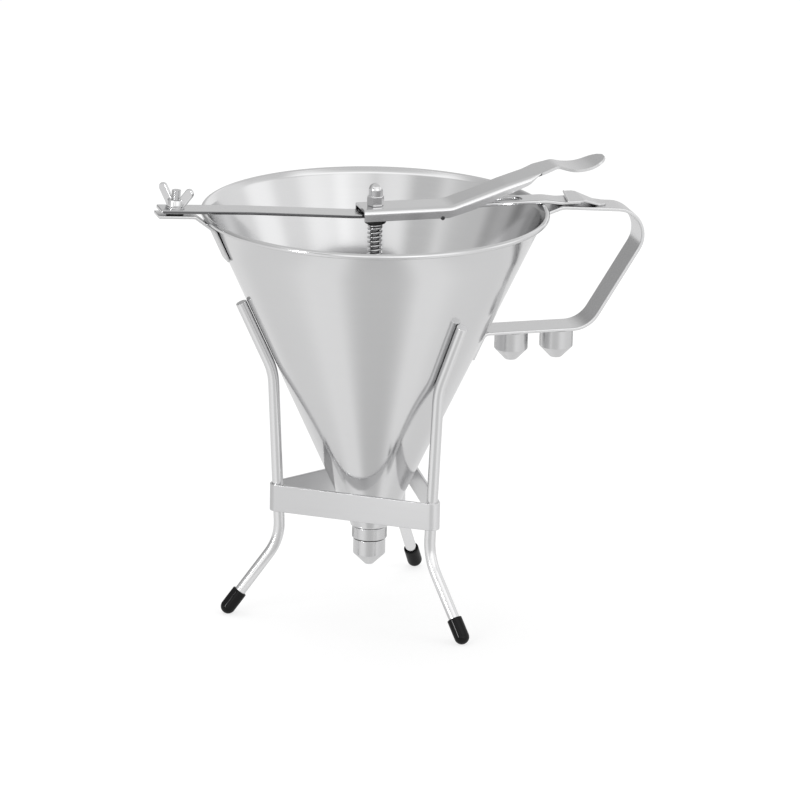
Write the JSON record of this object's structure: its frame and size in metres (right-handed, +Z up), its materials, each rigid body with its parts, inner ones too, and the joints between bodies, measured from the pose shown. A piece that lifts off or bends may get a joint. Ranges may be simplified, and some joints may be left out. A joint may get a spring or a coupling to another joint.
{
  "type": "pancake batter dispenser",
  "caption": "hand-held cone for pancake batter with a thumb lever that lifts a sprung valve rod, screw-on nozzles and a three-legged wire stand",
  "frame": {"origin": "middle of the nozzle's mouth, on the axis of the cone, 25 mm above the table", "axes": "+X from the cone's axis to the handle, +Y to the far side, +Z up along the cone's axis"},
  "size_m": [0.2656, 0.185, 0.2458],
  "materials": {
    "polished_steel": "mirror polished stainless steel sheet",
    "sheet_steel": "polished stainless strip with soft rolling lines",
    "wire_steel": "polished stainless wire",
    "turned_steel": "turned stainless steel with fine lathe marks",
    "foot_rubber": "glossy black dipped caps",
    "black_rubber": "matt black rubber",
    "dark_pin": "blackened steel"
  },
  "bodies": {
    "stand": {"stand_leg_left": "wire_steel", "stand_leg_right": "wire_steel", "stand_leg_back": "wire_steel", "stand_band": "sheet_steel", "foot_cap_left": "foot_rubber", "foot_cap_right": "foot_rubber", "foot_cap_back": "foot_rubber"},
    "funnel": {"funnel_cone": "polished_steel", "spout": "turned_steel", "knurled_ring": "turned_steel", "handle_strap": "sheet_steel", "handle_clip": "sheet_steel", "spare_studs": "turned_steel", "bar_bracket": "sheet_steel", "bracket_stud": "turned_steel", "bar_spacer": "black_rubber", "cross_bar": "sheet_steel", "spring_buffer": "black_rubber", "spring": "turned_steel"},
    "bar_washer": {"wing_washer": "turned_steel"},
    "bar_wing_nut": {"wing_nut": "turned_steel"},
    "seal": {"nozzle_seal": "black_rubber"},
    "used_nozzle": {"nozzle": "turned_steel"},
    "spare_near": {"spare_nozzle_1": "turned_steel"},
    "spare_far": {"spare_nozzle_2": "turned_steel"},
    "thumb_lever": {"lever": "sheet_steel", "keeper_pin": "dark_pin"},
    "valve": {"valve_rod": "turned_steel", "stopper": "turned_steel", "spring_collar": "turned_steel", "acorn_nut": "turned_steel"}
  },
  "joints": [
    {"name": "funnel_lift", "type": "slide", "parent": "stand", "child": "funnel", "axis": [0, 0, 1], "range_m": [0, 0.2]},
    {"name": "lever_rock", "type": "hinge", "parent": "funnel", "child": "thumb_lever", "pos_m": [0.039, 0, 0.20182], "axis": [0, 1, 0], "range_deg": [0, 11]},
    {"name": "valve_lift", "type": "slide", "parent": "funnel", "child": "valve", "axis": [0, 0, 1], "range_m": [0, 0.00846], "stiffness_N_per_m": 3700, "springref_m": -0.003, "deforming": ["spring"]},
    {"name": "washer_travel", "type": "slide", "parent": "funnel", "child": "bar_washer", "axis": [0.0611, 0, 0.9981], "range_m": [0, 0.0096]},
    {"name": "wing_nut_turn", "type": "hinge", "parent": "bar_washer", "child": "bar_wing_nut", "pos_m": [-0.10872, 0, 0.20157], "axis": [0.0611, 0, 0.9981], "range_deg": [0, 4325]},
    {"name": "seal_travel", "type": "slide", "parent": "funnel", "child": "seal", "axis": [0, 0, -1], "range_m": [0, 0.00524]},
    {"name": "nozzle_turn", "type": "hinge", "parent": "seal", "child": "used_nozzle", "pos_m": [0, 0, 0.006], "axis": [0, 0, -1], "range_deg": [0, 1260]},
    {"name": "spare_near_off", "type": "slide", "parent": "funnel", "child": "spare_near", "axis": [0, 0, -1], "range_m": [0, 0.02]},
    {"name": "spare_far_off", "type": "slide", "parent": "funnel", "child": "spare_far", "axis": [0, 0, -1], "range_m": [0, 0.02]}
  ],
  "couplings": [
    {"joint": "lever_rock", "follows": "valve_lift", "rad_per_m": 22.676},
    {"joint": "wing_nut_turn", "follows": "washer_travel", "rad_per_m": 7854},
    {"joint": "nozzle_turn", "follows": "seal_travel", "rad_per_m": 4188.8}
  ]
}
